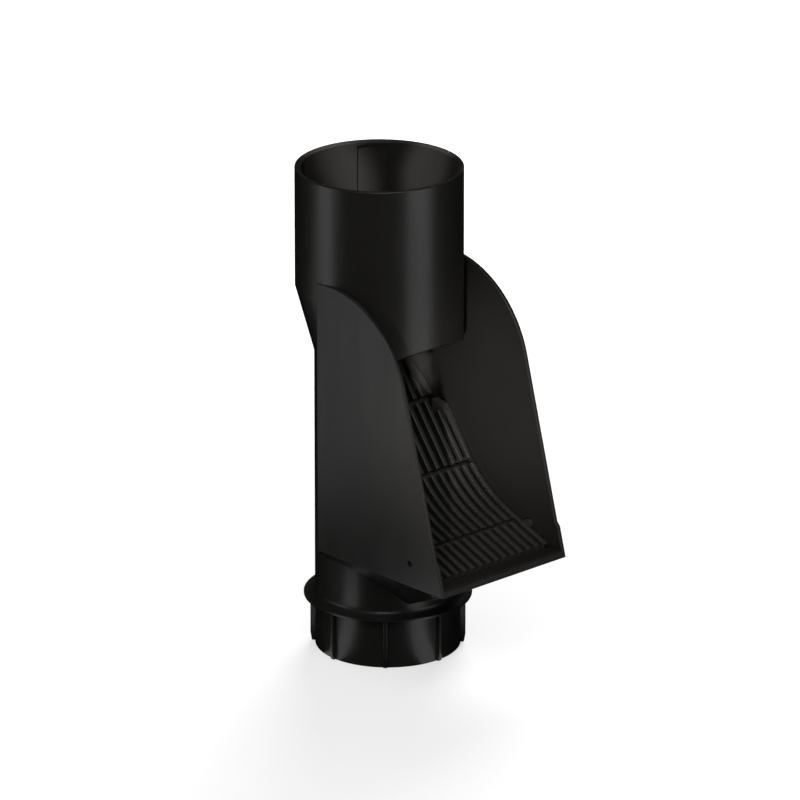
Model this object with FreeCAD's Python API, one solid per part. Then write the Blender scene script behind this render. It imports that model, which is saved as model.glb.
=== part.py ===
import FreeCAD, Part
import math
import os

os.makedirs("parts", exist_ok=True)
V = FreeCAD.Vector

# Driving sizes in millimetres: X runs across, minus Y is the open front, Z is up from the spigot's end.
# Pipe, socket and tube.
pipe_diameter = 68.0
pipe_play = 0.5
stop_ledge = 0.8
socket_wall = 2.5
socket_depth = 54.0
socket_above_plates = 45.0
socket_set_back = 5.4
skirt_drop = 29.4
mouth_slope = 28.3
reducer_height = 29.0
tube_radius = 32.3
tube_wall = 2.0
lead_in = 0.8
panel_depth = 0.5
panel_from = 40.0
panel_to = 63.5
panel_below_rim = 2.0
panel_above_stop = 4.0
# Spigot and collar.
spigot_length = 23.3
spigot_edge = 0.3
rib_count = 8
rib_width = 1.8
rib_play = 0.1
rib_lead = 4.0
rib_taper = 0.6
collar_radius = 37.3
collar_edge = 1.0
collar_root = 3.9
# Side plates, webs and hopper.
side_wall = 2.0
plate_proud = 0.2
plate_height = 124.8
plate_flat = 7.1
crown_radius = 50.0
front_rake = 15.1
web_front = 3.6
hopper_clear = 1.6
hopper_height = 22.4
hopper_side_slope = 46.1
hopper_floor_slope = 26.0
ear_depth = 1.2
ear_height = 13.5
lip_width = 6.6
lip_rise = 3.2
ledge_width = 3.2
ledge_drop = 1.4
# Grille.
bar_count = 15
bar_width = 2.3
bar_depth = 4.2
grille_play = 0.25
grille_tube_play = 0.7
grille_web_play = 0.9
grille_front_gap = 1.1
grille_front_rise = 4.8
lower_slope = 21.3
upper_slope = 52.9
lower_run = 40.0
bend_radius = 56.0
frame_width = 2.0
shoulder_drop = 4.4
tie_width = 2.8
tie_forward = 1.8
tie_groove_width = 1.3
tie_groove_depth = 2.4
dot_from_front = 18.2
dot_length = 1.9
dot_depth = 2.0
peg_from_front = 12.0
peg_rise = 1.1
peg_radius = 1.2
peg_play = 0.2
peg_short = 1.4
boss_radius = 2.2
boss_length = 1.6
foot_width = 1.8
foot_gap = 0.2
foot_drop = 1.4
foot_inset = 2.2

# Sizes that follow.
bore_radius = pipe_diameter / 2 + pipe_play
stop_radius = bore_radius - stop_ledge
socket_radius = bore_radius + socket_wall
tube_bore = tube_radius - tube_wall
rib_radius = bore_radius - rib_play
hopper_low = spigot_length + collar_root + hopper_clear
plate_bottom = hopper_low + hopper_height
plate_top = plate_bottom + plate_height
total_height = plate_top + socket_above_plates
stop_height = total_height - socket_depth
reducer_low = stop_height - reducer_height
mouth_front_height = plate_top - skirt_drop
plate_outer = socket_radius + plate_proud
plate_inner = plate_outer - side_wall
web_back = web_front + side_wall
crown_start = web_back - plate_flat
lip_top = plate_bottom + lip_rise
ledge_height = plate_bottom - ledge_drop


def tan(angle):
    return math.tan(math.radians(angle))


def cos(angle):
    return math.cos(math.radians(angle))


def sin(angle):
    return math.sin(math.radians(angle))


def across(wire_points, x0, x1):
    """A straight-sided profile in the Y-Z plane, drawn out across X."""
    pts = [V(x0, y, z) for y, z in wire_points]
    face = Part.Face(Part.makePolygon(pts + pts[:1]))
    return face.extrude(V(x1 - x0, 0, 0))


def lengthwise(wire_points, y0, y1):
    """A straight-sided profile in the X-Z plane, drawn out along Y."""
    pts = [V(x, y0, z) for x, z in wire_points]
    face = Part.Face(Part.makePolygon(pts + pts[:1]))
    return face.extrude(V(0, y1 - y0, 0))


def upright(radius, y, z0, z1):
    return Part.makeCylinder(radius, z1 - z0, V(0, y, z0), V(0, 0, 1))


def crosswise(radius, x0, x1, y, z):
    return Part.makeCylinder(radius, x1 - x0, V(x0, y, z), V(1, 0, 0))


def box(x0, x1, y0, y1, z0, z1):
    return Part.makeBox(x1 - x0, y1 - y0, z1 - z0, V(x0, y0, z0))


def fuse(shapes):
    return shapes[0].multiFuse(shapes[1:]).removeSplitter()


def mirrored(shape):
    return shape.mirror(V(0, 0, 0), V(1, 0, 0))


def ring_loft(r_low, z_low, r_high, z_high):
    """The offset reducer: a skew cone between the tube's circle and the socket's circle."""
    low = Part.Wire(Part.Circle(V(0, 0, z_low), V(0, 0, 1), r_low).toShape())
    high = Part.Wire(Part.Circle(V(0, socket_set_back, z_high), V(0, 0, 1), r_high).toShape())
    return Part.makeLoft([low, high], True, True)


# Round lower end: ribbed spigot, collar with a coved top, and tube, turned as one outline.
collar_top = spigot_length + collar_edge
cove_low = V(collar_radius, 0, collar_top)
cove_out = tube_radius + 0.42 * (collar_radius - tube_radius)
cove_mid = V(cove_out, 0, collar_top + 0.34 * (collar_root - collar_edge))
cove_high = V(tube_radius, 0, spigot_length + collar_root)
turned = [
    Part.LineSegment(V(0, 0, 0), V(tube_radius - spigot_edge, 0, 0)).toShape(),
    Part.LineSegment(V(tube_radius - spigot_edge, 0, 0), V(tube_radius, 0, spigot_edge)).toShape(),
    Part.LineSegment(V(tube_radius, 0, spigot_edge), V(tube_radius, 0, spigot_length)).toShape(),
    Part.LineSegment(V(tube_radius, 0, spigot_length), V(collar_radius, 0, spigot_length)).toShape(),
    Part.LineSegment(V(collar_radius, 0, spigot_length), cove_low).toShape(),
    Part.Arc(cove_low, cove_mid, cove_high).toShape(),
    Part.LineSegment(cove_high, V(tube_radius, 0, reducer_low)).toShape(),
    Part.LineSegment(V(tube_radius, 0, reducer_low), V(0, 0, reducer_low)).toShape(),
    Part.LineSegment(V(0, 0, reducer_low), V(0, 0, 0)).toShape(),
]
turned_outside = Part.Face(Part.Wire(turned)).revolve(V(0, 0, 0), V(0, 0, 1), 360)
turned_outside.rotate(V(0, 0, 0), V(0, 0, 1), 100)

# Eight grip ribs along the spigot, each with a sloped lead-in at its lower end.
rib_root = tube_radius - 0.7
rib_section = [
    V(rib_root, -rib_width / 2, spigot_edge),
    V(rib_root, -rib_width / 2, spigot_length),
    V(rib_radius, -rib_width / 2, spigot_length),
    V(rib_radius, -rib_width / 2, rib_lead),
    V(rib_radius - rib_taper, -rib_width / 2, spigot_edge),
]
rib = Part.Face(Part.makePolygon(rib_section + rib_section[:1])).extrude(V(0, rib_width, 0))
ribs = []
for k in range(rib_count):
    one = rib.copy()
    one.rotate(V(0, 0, 0), V(0, 0, 1), 360.0 / rib_count * k)
    ribs.append(one)

# Hopper under the side plates: the common part of its front outline and its side outline.
front_corner = crown_start - crown_radius * cos(front_rake)
crown_end_height = plate_top - crown_radius + crown_radius * sin(front_rake)
front_corner = front_corner - (crown_end_height - plate_bottom) * tan(front_rake)
floor_fall = tan(hopper_floor_slope)
side_fall = tan(hopper_side_slope)
low_half = plate_outer - side_fall * (plate_bottom - hopper_low)
low_front = front_corner + (plate_bottom - hopper_low) / floor_fall
hopper_front_view = [(-plate_outer, plate_bottom), (-low_half, hopper_low),
                     (low_half, hopper_low), (plate_outer, plate_bottom)]
hopper_side_view = [(front_corner, plate_bottom), (low_front, hopper_low),
                    (web_back, hopper_low), (web_back, plate_bottom)]
hopper_outside = lengthwise(hopper_front_view, front_corner - 5, web_back + 5).common(
    across(hopper_side_view, -plate_outer, plate_outer))

# The same hopper inside its wall.
inner_shift = side_wall / cos(hopper_side_slope)
floor_shift = side_wall / cos(hopper_floor_slope)
inner_low = hopper_low - 2.0
lip_back = front_corner + lip_width
inner_top = plate_bottom + 3 * side_wall
inner_break = plate_bottom + (inner_shift - side_wall) / side_fall
inner_low_half = plate_outer - inner_shift - side_fall * (plate_bottom - inner_low)
inner_front_view = [(-plate_inner, inner_top), (-plate_inner, inner_break), (-inner_low_half, inner_low),
                    (inner_low_half, inner_low), (plate_inner, inner_break), (plate_inner, inner_top)]


def floor_inside(y):
    return plate_bottom + floor_shift - floor_fall * (y - front_corner)


inner_low_front = front_corner + (plate_bottom + floor_shift - inner_low) / floor_fall
ledge_back = lip_back + ledge_width
inner_side_view = [(lip_back, inner_top), (lip_back, ledge_height), (ledge_back, ledge_height),
                   (ledge_back, floor_inside(ledge_back)), (inner_low_front, inner_low),
                   (web_front, inner_low), (web_front, inner_top)]
hopper_inside = lengthwise(inner_front_view, front_corner - 5, web_back + 5).common(
    across(inner_side_view, -plate_outer, plate_outer))

# Front lip: a weir across the mouth with a raked face and a flat top, closed at both ends by the plates.
lip_face = 0.75 * lip_rise
lip_lean = lip_face * tan(front_rake)
lip_front = front_corner - ear_depth
lip_outline = [(lip_front, plate_bottom), (lip_front + lip_lean, plate_bottom + lip_face),
               (lip_front + 0.25 * lip_width, lip_top), (lip_back, lip_top),
               (lip_back, plate_bottom - 1.5), (front_corner + 1.5, plate_bottom - 0.5)]
lip = across(lip_outline, -plate_inner - 1, plate_inner + 1)

# Side plates: upright back, flat top, round crown and raked straight front.
crown_y = crown_start
crown_z = plate_top - crown_radius
half_turn = (90.0 + 180.0 - front_rake) / 2
crown_mid = V(plate_inner, crown_y + crown_radius * cos(half_turn), crown_z + crown_radius * sin(half_turn))
crown_end = V(plate_inner, crown_y - crown_radius * cos(front_rake), crown_end_height)
plate_corners = [
    V(plate_inner, front_corner, plate_bottom),
    V(plate_inner, web_back, plate_bottom),
    V(plate_inner, web_back, plate_top),
    V(plate_inner, crown_start, plate_top),
]
plate_edges = [Part.LineSegment(a, b).toShape() for a, b in zip(plate_corners, plate_corners[1:])]
plate_edges.append(Part.Arc(plate_corners[3], crown_mid, crown_end).toShape())
plate_edges.append(Part.LineSegment(crown_end, plate_corners[0]).toShape())
plate = Part.Face(Part.Wire(plate_edges)).extrude(V(side_wall, 0, 0))
ear_lean = ear_height * tan(front_rake)
ear_top = ear_height + 1.5 * ear_depth
ear_back = front_corner + ear_top * tan(front_rake)
ear_outline = [(lip_front, plate_bottom), (lip_front + ear_lean, plate_bottom + ear_height),
               (ear_back, plate_bottom + ear_top), (ear_back + 1, plate_bottom + ear_top),
               (ear_back + 1, plate_bottom)]
ear = across(ear_outline, plate_inner, plate_outer)
plates = [plate, mirrored(plate), ear, mirrored(ear)]

# Webs that close the space between the half tube and the plates.
web_section = [(tube_bore - 3, plate_bottom - 6), (plate_outer - 0.5, plate_bottom - 0.2),
               (plate_outer - 0.5, stop_height), (tube_bore - 3, stop_height)]
web = lengthwise(web_section, web_front, web_back)
webs = [web, mirrored(web)]

# Lower half of the body, opened at the front and bored out.
front_space = box(-plate_inner, plate_inner, lip_back, web_front, inner_top - 2, stop_height + 30)
tube_hollow = upright(tube_bore, 0, -1, reducer_low)
reducer_outside = ring_loft(tube_radius, reducer_low, socket_radius, stop_height)
reducer_inside = ring_loft(tube_bore, reducer_low, stop_radius, stop_height)
behind_web = box(-60, 60, web_front, 80, reducer_low - 1, stop_height + 1)
lower = fuse([turned_outside, hopper_outside] + ribs + plates + webs + [lip])
lower = lower.cut(front_space).cut(hopper_inside)
lower = fuse([lower, reducer_outside.common(behind_web)])
lower = lower.cut(tube_hollow).cut(reducer_inside.common(behind_web))

# Socket with its front skirt, which is cut off on the slope above the mouth.
skirt_low = mouth_front_height - 2 * socket_radius * tan(mouth_slope)
tube_of_socket = upright(socket_radius, socket_set_back, skirt_low, total_height)
tube_of_socket = tube_of_socket.cut(upright(stop_radius, socket_set_back, skirt_low - 1, total_height))
tube_of_socket = tube_of_socket.cut(upright(bore_radius, socket_set_back, stop_height, total_height + 1))
mouth_y = socket_set_back - socket_radius


def mouth_height(y):
    return mouth_front_height - (y - mouth_y) * tan(mouth_slope)


below_mouth = across([(-80, mouth_height(-80)), (web_front, mouth_height(web_front)),
                      (web_front, stop_height), (90, stop_height), (90, 0), (-80, 0)], -60, 60)
socket = tube_of_socket.cut(below_mouth)
side_room = box(plate_outer, plate_outer + 10, -60, web_back, 0, stop_height)
socket = socket.cut(side_room).cut(mirrored(side_room))
lead_cone = Part.makeCone(bore_radius, bore_radius + lead_in, lead_in,
                          V(0, socket_set_back, total_height - lead_in), V(0, 0, 1))
socket = socket.cut(lead_cone)

# Shallow panels in the socket's inner back wall.
panel_low = stop_height + panel_above_stop
panel_high = total_height - panel_below_rim


def panel(from_angle, to_angle):
    panel_foot = V(0, socket_set_back, panel_low)
    ring = Part.makeCylinder(bore_radius + panel_depth, panel_high - panel_low, panel_foot,
                             V(0, 0, 1), to_angle - from_angle)
    ring.rotate(V(0, socket_set_back, 0), V(0, 0, 1), from_angle)
    return ring


socket = socket.cut(panel(panel_from, panel_to)).cut(panel(180 - panel_to, 180 - panel_from))

body = fuse([lower, socket])

# Grille: one bent sheet drawn across, trimmed to the space, then slotted into bars.
upper_dir = V(0, cos(upper_slope), sin(upper_slope))
lower_dir = V(0, -cos(lower_slope), -sin(lower_slope))
upper_normal = V(0, -sin(upper_slope), cos(upper_slope))
lower_normal = V(0, -sin(lower_slope), cos(lower_slope))
grille_front = lip_back + grille_front_gap
grille_front_height = plate_bottom + grille_front_rise
corner = V(0, grille_front + lower_run, grille_front_height + lower_run * tan(lower_slope))
reach = bend_radius * tan((upper_slope - lower_slope) / 2)
bend_top = corner + upper_dir * reach
bend_low = corner + lower_dir * reach
bend_centre = bend_top + upper_normal * bend_radius
lower_end = bend_low + lower_dir * ((bend_low.y - grille_front) / cos(lower_slope))
upper_end = bend_top + upper_dir * ((tube_bore + 2 - bend_top.y) / cos(upper_slope))
bisector = (corner - bend_centre).normalize()


def sheet(from_depth, to_depth, x0, x1):
    """The bent sheet between two depths below the grille's top surface."""
    edges = []
    rows = []
    for depth in (from_depth, to_depth):
        a = upper_end - upper_normal * depth
        b = bend_top - upper_normal * depth
        m = bend_centre + bisector * (bend_radius + depth)
        c = bend_low - lower_normal * depth
        d = lower_end - lower_normal * depth
        rows.append((a, d))
        edges.append(Part.LineSegment(a, b).toShape())
        edges.append(Part.Arc(b, m, c).toShape())
        edges.append(Part.LineSegment(c, d).toShape())
    edges.append(Part.LineSegment(rows[0][0], rows[1][0]).toShape())
    edges.append(Part.LineSegment(rows[0][1], rows[1][1]).toShape())
    wire = Part.Wire(Part.__sortEdges__(edges))
    wire.translate(V(x0, 0, 0))
    return Part.Face(wire).extrude(V(x1 - x0, 0, 0))


def plan(inset):
    """The grille's outline from above, moved in by an inset, as a tall block."""
    half = plate_inner - grille_play - inset
    radius = tube_bore - grille_tube_play - inset
    shoulder_y = web_front - grille_web_play - inset
    shoulder_x = math.sqrt(radius ** 2 - shoulder_y ** 2)
    step = shoulder_y - shoulder_drop
    p = [V(-shoulder_x, shoulder_y, 0), V(-half, step, 0), V(-half, -90, 0),
         V(half, -90, 0), V(half, step, 0), V(shoulder_x, shoulder_y, 0)]
    edges = [Part.LineSegment(a, b).toShape() for a, b in zip(p, p[1:])]
    edges.append(Part.Arc(p[5], V(0, radius, 0), p[0]).toShape())
    return Part.Face(Part.Wire(edges)).extrude(V(0, 0, 220))


grille_half = plate_inner - grille_play
bar_pitch = (2 * grille_half - bar_width) / (bar_count - 1)
blank = sheet(0, bar_depth, -grille_half, grille_half).common(plan(0))
slots = []
for k in range(bar_count - 1):
    x0 = -grille_half + bar_width + k * bar_pitch
    slots.append(box(x0, x0 + bar_pitch - bar_width, grille_front - 1, 40, 0, 220))
slot_space = plan(frame_width)
slots = [s.common(slot_space) for s in slots]
bars = blank.cut(Part.Compound(slots))


def place_on_top(y):
    """Point and directions on the grille's top surface at a given Y."""
    if y >= bend_top.y:
        return bend_top + upper_dir * ((y - bend_top.y) / cos(upper_slope)), upper_dir, upper_normal
    if y <= bend_low.y:
        return bend_low + lower_dir * ((bend_low.y - y) / cos(lower_slope)), lower_dir * -1, lower_normal
    dz = math.sqrt(bend_radius ** 2 - (y - bend_centre.y) ** 2)
    point = V(0, y, bend_centre.z - dz)
    normal = (bend_centre - point).normalize()
    return point, V(0, normal.z, -normal.y), normal


def strip(y, half_width, from_depth, to_depth):
    point, along, normal = place_on_top(y)
    corners = [point + along * s * half_width - normal * d
               for s, d in ((-1, from_depth), (1, from_depth), (1, to_depth), (-1, to_depth))]
    return across([(c.y, c.z) for c in corners], -grille_half, grille_half)


trim = plan(0)
tie_places = (web_front - tie_forward, bend_top.y - tie_forward)
dot_place = grille_front + dot_from_front
peg_y = grille_front + peg_from_front
peg_z = place_on_top(peg_y)[0].z + peg_rise
ties = [strip(y, tie_width / 2, tie_groove_depth - 0.4, bar_depth + 0.8).common(trim) for y in tie_places]
grooves = [strip(y, tie_groove_width / 2, -2.0, tie_groove_depth) for y in tie_places]
low_tie = strip(dot_place, tie_width / 2, dot_depth + 1.2, bar_depth + 1.0).common(trim)
notch_half = grille_half - bar_width
dot_notch = strip(dot_place, dot_length / 2, -2.0, dot_depth).common(
    box(-notch_half, notch_half, grille_front, web_front, 0, plate_top))
foot_y = grille_front + foot_gap
foot_top = place_on_top(foot_y)[0].z - foot_drop
foot_half = grille_half - foot_inset
foot = box(-foot_half, foot_half, foot_y, foot_y + foot_width, ledge_height, foot_top)
peg_reach = plate_outer - peg_short
peg = crosswise(peg_radius, grille_half - boss_length / 2, peg_reach, peg_y, peg_z)
boss = crosswise(boss_radius, grille_half - boss_length, grille_half, peg_y, peg_z)
pegs = [peg, boss, mirrored(peg), mirrored(boss)]
grille = fuse([bars] + ties + [low_tie, foot] + pegs)
grille = grille.cut(Part.Compound(grooves)).cut(dot_notch)

# Holes in the side plates for the grille's pegs.
body = body.cut(crosswise(peg_radius + peg_play, -2 * plate_outer, 2 * plate_outer, peg_y, peg_z))

for name, shape in (("filter_body", body), ("leaf_grille", grille)):
    whole = shape.removeSplitter()
    print(name, "solids", len(whole.Solids), "valid", whole.isValid(), "volume", round(whole.Volume))
    print(name, whole.BoundBox)
    whole.exportStep("parts/" + name + ".step")
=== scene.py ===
import math

import bmesh
import bpy
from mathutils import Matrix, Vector


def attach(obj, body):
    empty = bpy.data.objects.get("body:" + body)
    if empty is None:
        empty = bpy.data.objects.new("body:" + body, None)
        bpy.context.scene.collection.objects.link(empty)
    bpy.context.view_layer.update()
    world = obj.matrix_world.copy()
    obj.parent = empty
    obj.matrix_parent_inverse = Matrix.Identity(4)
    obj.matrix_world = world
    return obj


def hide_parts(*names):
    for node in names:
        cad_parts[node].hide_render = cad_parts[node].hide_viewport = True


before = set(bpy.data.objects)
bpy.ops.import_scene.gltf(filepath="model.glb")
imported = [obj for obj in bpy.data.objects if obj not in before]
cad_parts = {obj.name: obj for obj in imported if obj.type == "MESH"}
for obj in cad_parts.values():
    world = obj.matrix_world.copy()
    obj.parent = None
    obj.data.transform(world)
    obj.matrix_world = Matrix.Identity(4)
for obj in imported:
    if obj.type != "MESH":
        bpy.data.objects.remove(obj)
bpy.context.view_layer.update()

# Sizes of the leaf filter in millimetres: X runs across, minus Y is the open front, Z is up. SAME_POINT and
# NO_LENGTH are in metres.
MM = 0.001
TURN_STEPS = 240
PART_TURN_STEPS = 24
SAME_POINT = 0.000004
NO_LENGTH = 0.000002
EDGE_ROUND = 0.45

BORE_RADIUS = 34.5
STOP_RADIUS = 33.7
SOCKET_RADIUS = 37.0
SOCKET_AXIS_Y = 5.4
TOTAL_HEIGHT = 221.0
STOP_HEIGHT = 167.0
LEAD_IN = 0.8
BORE_EDGE = 0.6
REDUCER_LOW = 138.0
TUBE_RADIUS = 32.3
TUBE_BORE = 30.3
MOUTH_FRONT_Y = SOCKET_AXIS_Y - SOCKET_RADIUS
MOUTH_FRONT_HEIGHT = 146.6
MOUTH_SLOPE = math.radians(28.3)
SKIRT_TONGUE_INNER = 35.1
SKIRT_TONGUE_OUTER = 36.4
SKIRT_TONGUE_RISE = 2.0
PANEL_DEPTH = 0.9
PANEL_ANGLES = (40.0, 63.5)
PANEL_HEIGHTS = (171.0, 219.0)

SPIGOT_LENGTH = 23.3
SPIGOT_EDGE = 0.3
RIB_COUNT = 8
RIB_WIDTH = 1.8
RIB_RADIUS = 34.4
RIB_LEAD = 4.0
RIB_TAPER = 0.6
RIB_ROUND = 0.4
RIB_ROOT = 0.7
COLLAR_RADIUS = 37.3
COLLAR_EDGE = 1.0
COLLAR_ROOT = 3.9
COLLAR_ROUND = 0.3
COVE_POWER = 0.9

PLATE_OUTER = 37.2
PLATE_INNER = 35.2
PLATE_BOTTOM = 51.2
PLATE_TOP = 176.0
WEB_FRONT = 3.6
WEB_BACK = 5.6
CROWN_START = -1.5
CROWN_RADIUS = 50.0
FRONT_RAKE = math.radians(15.1)
HOPPER_LOW = 28.8
HOPPER_SIDE_SLOPE = math.radians(46.1)
HOPPER_FLOOR_SLOPE = math.radians(26.0)
HOPPER_ROUND = 0.8
WALL = 2.0
EAR_DEPTH = 1.2
EAR_HEIGHT = 13.5
LIP_WIDTH = 6.6
LIP_RISE = 3.2
LIP_FACE_SHARE = 0.75
LIP_BEVEL_SHARE = 0.25
LEDGE_WIDTH = 3.2
LEDGE_HEIGHT = 49.8

BAR_COUNT = 15
BAR_WIDTH = 2.3
BAR_DEPTH = 4.2
BAR_ROUND = 0.45
BAR_UNDER_FRAME = 0.9
SIDE_BAR_SHORT = 2.4
BAR_TRIM = 0.1
GRILLE_HALF = 34.95
GRILLE_REAR_RADIUS = 29.6
GRILLE_SHOULDER_Y = 2.7
SHOULDER_DROP = 4.4
FRAME_WIDTH = 2.0
FRAME_FRONT_Y = -8.0
GRILLE_FRONT_GAP = 1.1
GRILLE_FRONT_HEIGHT = 56.0
LOWER_SLOPE = math.radians(21.3)
UPPER_SLOPE = math.radians(52.9)
LOWER_RUN = 40.0
BEND_RADIUS = 56.0
TIE_WIDTH = 2.8
TIE_FORWARD = 1.8
TIE_GROOVE_WIDTH = 2.2
TIE_GROOVE_DEPTH = 4.0
TIE_ROUND = 0.4
TIE_OVERLAP = 0.4
TIE_DROP = 0.8
TIE_TRIM = 0.3
DOT_FROM_FRONT = 18.2
DOT_LENGTH = 1.9
DOT_DEPTH = 2.0
LOW_TIE_COVER = 1.2
LOW_TIE_DROP = 1.0
PEG_FROM_FRONT = 12.0
PEG_RISE = 1.1
PEG_RADIUS = 1.2
PEG_REACH = 35.8
PEG_ROUND = 0.3
HOLE_RADIUS = 1.4
BOSS_RADIUS = 2.2
BOSS_LENGTH = 1.6
BOSS_INSET = 0.05
FOOT_GAP = 0.2
FOOT_WIDTH = 1.8
FOOT_DROP = 1.4
FOOT_INSET = 2.2

# Loops that keep the shading of the long walls and of their bends even, and the reach of cutting tools.
BEND_LOOP = 0.6
TUBE_LOOP = 80.0
BORE_LOOP = 60.0
SOCKET_LOOP = 194.0
PAST_SIDES = 60.0
ABOVE_BARS = 2.0
TRIM_FRONT_Y = -80.0
TRIM_HEIGHTS = (20, 210)
FRAME_HEIGHTS = (40, 200)

# Sizes that follow.
CROWN_Z = PLATE_TOP - CROWN_RADIUS
CROWN_END = (CROWN_START - CROWN_RADIUS * math.cos(FRONT_RAKE),
             CROWN_Z + CROWN_RADIUS * math.sin(FRONT_RAKE))
FRONT_CORNER = CROWN_END[0] - (CROWN_END[1] - PLATE_BOTTOM) * math.tan(FRONT_RAKE)
LIP_FRONT = FRONT_CORNER - EAR_DEPTH
LIP_BACK = FRONT_CORNER + LIP_WIDTH
LIP_TOP = PLATE_BOTTOM + LIP_RISE
GRILLE_FRONT = LIP_BACK + GRILLE_FRONT_GAP


def add_node(tree, kind, inputs=None, **settings):
    """Adds one node with its settings; an input is given a value or another node's output."""
    node = tree.nodes.new(kind)
    for name, value in settings.items():
        setattr(node, name, value)
    for key, value in (inputs or {}).items():
        if isinstance(value, bpy.types.NodeSocket):
            tree.links.new(value, node.inputs[key])
        else:
            node.inputs[key].default_value = value
    return node


def linear(code):
    """An sRGB hex colour as linear RGBA."""
    parts = [int(code[k:k + 2], 16) / 255 for k in (1, 3, 5)]
    return [p / 12.92 if p <= 0.04045 else ((p + 0.055) / 1.055) ** 2.4 for p in parts] + [1.0]


def empty_material(name):
    """A material with nothing in its node tree yet."""
    material = bpy.data.materials.new(name)
    material.use_nodes = True
    material.node_tree.nodes.clear()
    return material


def solid(name, points, faces):
    """A mesh object from points in millimetres and their faces."""
    mesh = bpy.data.meshes.new(name)
    mesh.from_pydata([Vector(p) * MM for p in points], [], faces)
    shape = bmesh.new()
    shape.from_mesh(mesh)
    bmesh.ops.recalc_face_normals(shape, faces=shape.faces)
    shape.to_mesh(mesh)
    shape.free()
    made = bpy.data.objects.new(name, mesh)
    bpy.context.scene.collection.objects.link(made)
    return made


def joined(base, others, operation):
    """The base after other solids are fused to it or cut from it; the others are used up."""
    for other in others:
        tool = base.modifiers.new("tool", "BOOLEAN")
        tool.object = other
        tool.operation = operation
        tool.solver = "MANIFOLD"
    take_evaluated(base)
    for other in others:
        bpy.data.objects.remove(other)
    return base


def take_evaluated(piece):
    """Turns a piece's modifiers into plain mesh."""
    bpy.context.view_layer.update()
    graph = bpy.context.evaluated_depsgraph_get()
    mesh = bpy.data.meshes.new_from_object(piece.evaluated_get(graph))
    piece.modifiers.clear()
    piece.data = mesh


def rounded(outline, radius, keep_sharp=(), steps=4):
    """A closed outline with each corner turned into an arc, apart from those named as sharp."""
    points = []
    for k, corner in enumerate(outline):
        here = Vector(corner)
        if k in keep_sharp:
            points.append(tuple(here))
            continue
        back = (Vector(outline[k - 1]) - here).normalized()
        ahead = (Vector(outline[(k + 1) % len(outline)]) - here).normalized()
        half = back.angle(ahead) / 2
        centre = here + (back + ahead).normalized() * (radius / math.sin(half))
        start = here + back * (radius / math.tan(half)) - centre
        end = here + ahead * (radius / math.tan(half)) - centre
        sweep = start.angle(end)
        for s in range(steps + 1):
            part = sweep * s / steps
            blend = start * math.sin(sweep - part) + end * math.sin(part)
            points.append(tuple(centre + blend / math.sin(sweep)))
    return points


def drawn(name, outline, place, start, end):
    """A solid drawn from a flat outline; place puts an outline point at a distance along."""
    count = len(outline)
    points = [place(p, start) for p in outline] + [place(p, end) for p in outline]
    faces = [tuple(range(count)), tuple(range(2 * count - 1, count - 1, -1))]
    faces += [(k, (k + 1) % count, count + (k + 1) % count, count + k) for k in range(count)]
    return solid(name, points, faces)


def across(point, distance):
    return (distance, point[0], point[1])


def lengthwise(point, distance):
    return (point[0], distance, point[1])


def upright(point, distance):
    return (point[0], point[1], distance)


def block(name, x0, x1, y0, y1, z0, z1):
    """A box between two values on each axis."""
    return drawn(name, [(y0, z0), (y1, z0), (y1, z1), (y0, z1)], across, x0, x1)


def axis_y(height):
    """The tube's axis leans back through the reducer to the socket's axis."""
    part = (height - REDUCER_LOW) / (STOP_HEIGHT - REDUCER_LOW)
    return SOCKET_AXIS_Y * min(max(part, 0.0), 1.0)


def turned(name, outline, axis=axis_y, start=0.0, sweep=360.0):
    """A solid turned from (radius, height) points round an axis; a full turn is capped at its ends."""
    whole = sweep == 360.0
    steps = TURN_STEPS if whole else PART_TURN_STEPS
    columns = steps if whole else steps + 1
    angles = [math.radians(start + sweep * k / steps) for k in range(columns)]
    points = [(r * math.cos(a), axis(z) + r * math.sin(a), z) for r, z in outline for a in angles]
    count = len(outline)
    faces = []
    for j in range(count - 1 if whole else count):
        low, high = j * columns, (j + 1) % count * columns
        for k in range(steps):
            n = (k + 1) % columns
            faces.append((low + k, low + n, high + n, high + k))
    if whole:
        faces += [tuple(range(columns)), tuple(range((count - 1) * columns, count * columns))]
    else:
        faces += [tuple(j * columns + e for j in range(count)) for e in (0, columns - 1)]
    return solid(name, points, faces)


def rod(name, radius, x0, x1, y, z, steps=32):
    """A round rod across the part."""
    angles = [2 * math.pi * (k + 0.5) / steps for k in range(steps)]
    outline = [(y + radius * math.cos(a), z + radius * math.sin(a)) for a in angles]
    return drawn(name, outline, across, x0, x1)


def softened(piece, picked, width, steps=3):
    """Rounds the edges of a solid that the test picks by their two ends, in millimetres."""
    shape = bmesh.new()
    shape.from_mesh(piece.data)
    edges = [e for e in shape.edges if picked(e.verts[0].co / MM, e.verts[1].co / MM)]
    bmesh.ops.bevel(shape, geom=edges, offset=width * MM, offset_type="OFFSET", segments=steps,
                    profile=0.5, affect="EDGES", clamp_overlap=True)
    shape.to_mesh(piece.data)
    shape.free()
    return piece


def finished(piece, name, sharp_angle, node, material):
    """Shades a finished piece smooth between its sharp edges and ties it to the frame."""
    piece.name = name
    piece.data.name = name
    shape = bmesh.new()
    shape.from_mesh(piece.data)
    bmesh.ops.remove_doubles(shape, verts=shape.verts, dist=SAME_POINT)
    bmesh.ops.dissolve_degenerate(shape, edges=shape.edges, dist=NO_LENGTH)
    shape.to_mesh(piece.data)
    shape.free()
    for face in piece.data.polygons:
        face.use_smooth = True
        face.material_index = 0
    piece.data.set_sharp_from_angle(angle=math.radians(sharp_angle))
    even = piece.modifiers.new("even shading", "WEIGHTED_NORMAL")
    even.keep_sharp = True
    even.weight = 90
    take_evaluated(piece)
    piece.data.materials.clear()
    piece.data.materials.append(material)
    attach(piece, "root")
    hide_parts(node)


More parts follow.
